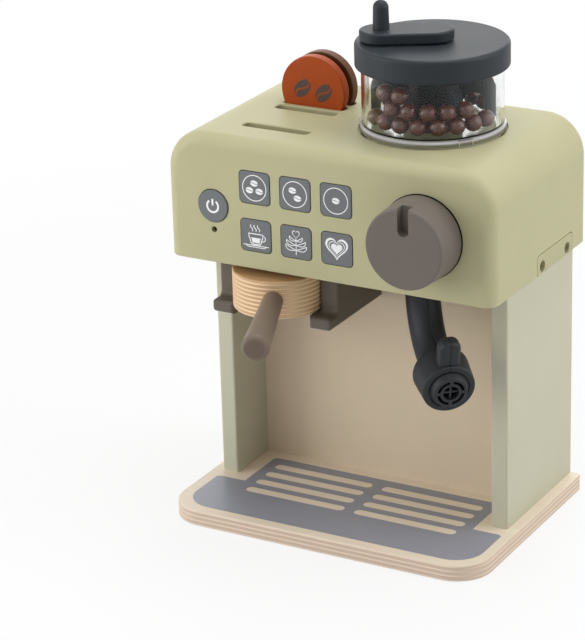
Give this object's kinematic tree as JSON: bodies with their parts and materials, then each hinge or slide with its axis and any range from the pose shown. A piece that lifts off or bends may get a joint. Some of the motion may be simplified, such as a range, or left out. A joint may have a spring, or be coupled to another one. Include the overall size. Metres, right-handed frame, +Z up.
{
  "type": "toy coffee maker",
  "caption": "Wooden play espresso machine with a rounded hood, crank hopper, push buttons, dial, swivel steam wand, sliding portafilter and lift-out coffee tokens.",
  "frame": {"origin": "centre of the base board's underside", "axes": "+Z up, -Y towards the front with the buttons, +X to the right as seen from the front"},
  "size_m": [0.2, 0.1918, 0.3003],
  "materials": {
    "birch_plywood": "sanded and clear lacquered",
    "painted_board": "satin paint",
    "back_board": "satin paint",
    "hood_plastic": "fine matte",
    "inner_plastic": "as moulded",
    "screw_steel": "zinc plated",
    "shaft_steel": "turned",
    "rail_wood": "satin paint",
    "clear_plastic": "clear polished",
    "dark_plastic": "fine matte",
    "black_plastic": "as moulded",
    "bean_wood": "stained",
    "knob_plastic": "fine matte",
    "wand_plastic": "fine matte",
    "key_plastic": "fine matte",
    "orange_wood": "stained",
    "brown_wood": "stained"
  },
  "bodies": {
    "machine": {"base_board": "birch_plywood", "left_side_panel": "painted_board", "right_side_panel": "painted_board", "back_panel": "back_board", "hood_shell": "hood_plastic", "hood_floor": "hood_plastic", "button_carrier": "inner_plastic", "rack_tray": "hood_plastic", "feed_tray": "hood_plastic", "base_screws": "screw_steel", "hood_floor_screws": "screw_steel", "fixing_tab_screws": "screw_steel", "rail_screws": "screw_steel", "carrier_screws": "screw_steel", "left_portafilter_rail": "rail_wood", "right_portafilter_rail": "rail_wood", "hopper_cup": "clear_plastic", "hopper_lid": "dark_plastic"},
    "crank": {"crank_arm": "dark_plastic", "crank_peg": "dark_plastic", "crank_shaft": "shaft_steel", "stirrer": "black_plastic", "coffee_beans": "bean_wood"},
    "dial": {"dial_knob": "knob_plastic", "dial_shaft": "shaft_steel", "dial_clip": "inner_plastic"},
    "steam_wand": {"wand_left_half": "wand_plastic", "wand_right_half": "wand_plastic", "nozzle_ring": "wand_plastic", "wand_spigot": "wand_plastic", "wand_clip": "inner_plastic"},
    "portafilter": {"portafilter_disc": "birch_plywood", "portafilter_handle": "rail_wood", "handle_dowel": "birch_plywood"},
    "orange_token_body": {"orange_token": "orange_wood"},
    "brown_token_body": {"brown_token": "brown_wood"},
    "power_button_body": {"power_button": "key_plastic"},
    "upper_left_key_body": {"upper_left_key": "key_plastic"},
    "upper_middle_key_body": {"upper_middle_key": "key_plastic"},
    "upper_right_key_body": {"upper_right_key": "key_plastic"},
    "lower_left_key_body": {"lower_left_key": "key_plastic"},
    "lower_middle_key_body": {"lower_middle_key": "key_plastic"},
    "lower_right_key_body": {"lower_right_key": "key_plastic"}
  },
  "joints": [
    {"name": "crank_turn", "type": "hinge", "parent": "machine", "child": "crank", "pos_m": [0.0333, 0.013, 0.2799], "axis": [0, 0, 1], "continuous": true},
    {"name": "dial_turn", "type": "hinge", "parent": "machine", "child": "dial", "pos_m": [0.0583, -0.0514, 0.189], "axis": [0, -1, 0], "continuous": true},
    {"name": "steam_wand_swivel", "type": "hinge", "parent": "machine", "child": "steam_wand", "pos_m": [0.04, -0.015, 0.1543], "axis": [0, 0, 1], "range_deg": [-60, 12]},
    {"name": "portafilter_slide", "type": "slide", "parent": "machine", "child": "portafilter", "axis": [0, -1, 0], "range_m": [-0.024, 0.048]},
    {"name": "orange_token_lift", "type": "slide", "parent": "machine", "child": "orange_token_body", "axis": [0, 0, 1], "range_m": [0, 0.035]},
    {"name": "brown_token_lift", "type": "slide", "parent": "machine", "child": "brown_token_body", "axis": [0, 0, 1], "range_m": [0, 0.035]},
    {"name": "power_button_press", "type": "slide", "parent": "machine", "child": "power_button_body", "axis": [0, 1, 0], "range_m": [0, 0.0015], "stiffness_N_per_m": 300, "springref_m": -0.001},
    {"name": "upper_left_key_press", "type": "slide", "parent": "machine", "child": "upper_left_key_body", "axis": [0, 1, 0], "range_m": [0, 0.0015], "stiffness_N_per_m": 300, "springref_m": -0.001},
    {"name": "upper_middle_key_press", "type": "slide", "parent": "machine", "child": "upper_middle_key_body", "axis": [0, 1, 0], "range_m": [0, 0.0015], "stiffness_N_per_m": 300, "springref_m": -0.001},
    {"name": "upper_right_key_press", "type": "slide", "parent": "machine", "child": "upper_right_key_body", "axis": [0, 1, 0], "range_m": [0, 0.0015], "stiffness_N_per_m": 300, "springref_m": -0.001},
    {"name": "lower_left_key_press", "type": "slide", "parent": "machine", "child": "lower_left_key_body", "axis": [0, 1, 0], "range_m": [0, 0.0015], "stiffness_N_per_m": 300, "springref_m": -0.001},
    {"name": "lower_middle_key_press", "type": "slide", "parent": "machine", "child": "lower_middle_key_body", "axis": [0, 1, 0], "range_m": [0, 0.0015], "stiffness_N_per_m": 300, "springref_m": -0.001},
    {"name": "lower_right_key_press", "type": "slide", "parent": "machine", "child": "lower_right_key_body", "axis": [0, 1, 0], "range_m": [0, 0.0015], "stiffness_N_per_m": 300, "springref_m": -0.001}
  ]
}
